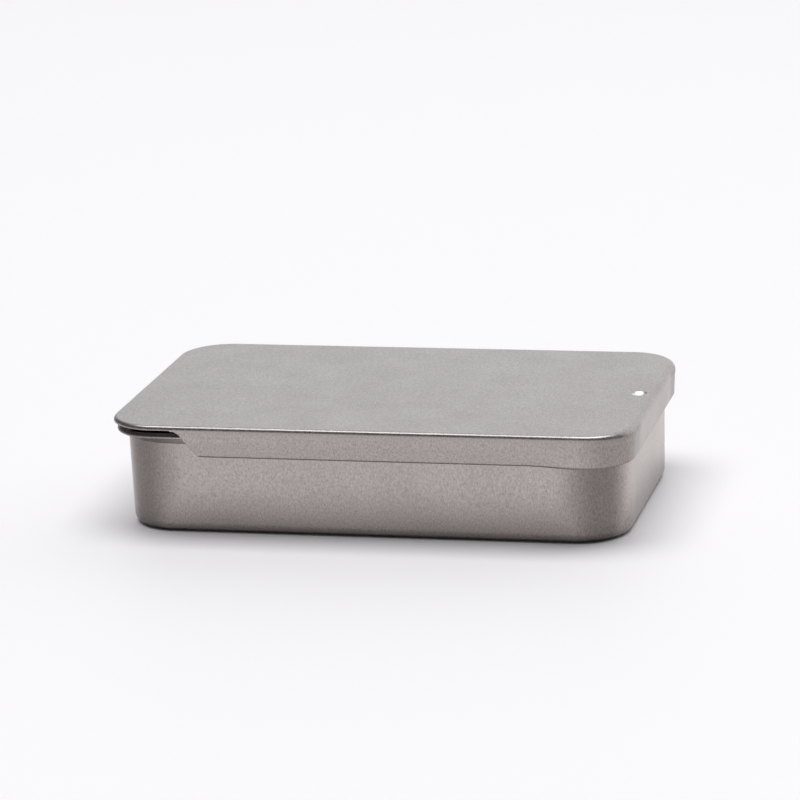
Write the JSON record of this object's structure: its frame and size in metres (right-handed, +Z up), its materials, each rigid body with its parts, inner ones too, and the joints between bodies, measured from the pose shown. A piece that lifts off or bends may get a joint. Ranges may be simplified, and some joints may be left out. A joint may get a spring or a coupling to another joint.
{
  "type": "slide-top tin",
  "caption": "Small plain tinplate pocket tin with a shallow drawn tray and a flat lid that slides off one end.",
  "frame": {"origin": "under the middle of the tray's base, on the surface the tin stands on", "axes": "+X along the tin towards the lid's closed end, the way the lid slides off; +Y across the tin; +Z up"},
  "size_m": [0.08, 0.05, 0.0174],
  "materials": {
    "tinplate_tray": "satin bare tinplate with a fine upright drawn grain",
    "tinplate_lid": "satin bare tinplate with a fine even speckle"
  },
  "bodies": {
    "tray": {"tray": "tinplate_tray"},
    "slide_lid": {"slide_lid": "tinplate_lid"}
  },
  "joints": [
    {"name": "lid_slide", "type": "slide", "parent": "tray", "child": "slide_lid", "axis": [1, 0, 0], "range_m": [0, 0.082]}
  ]
}
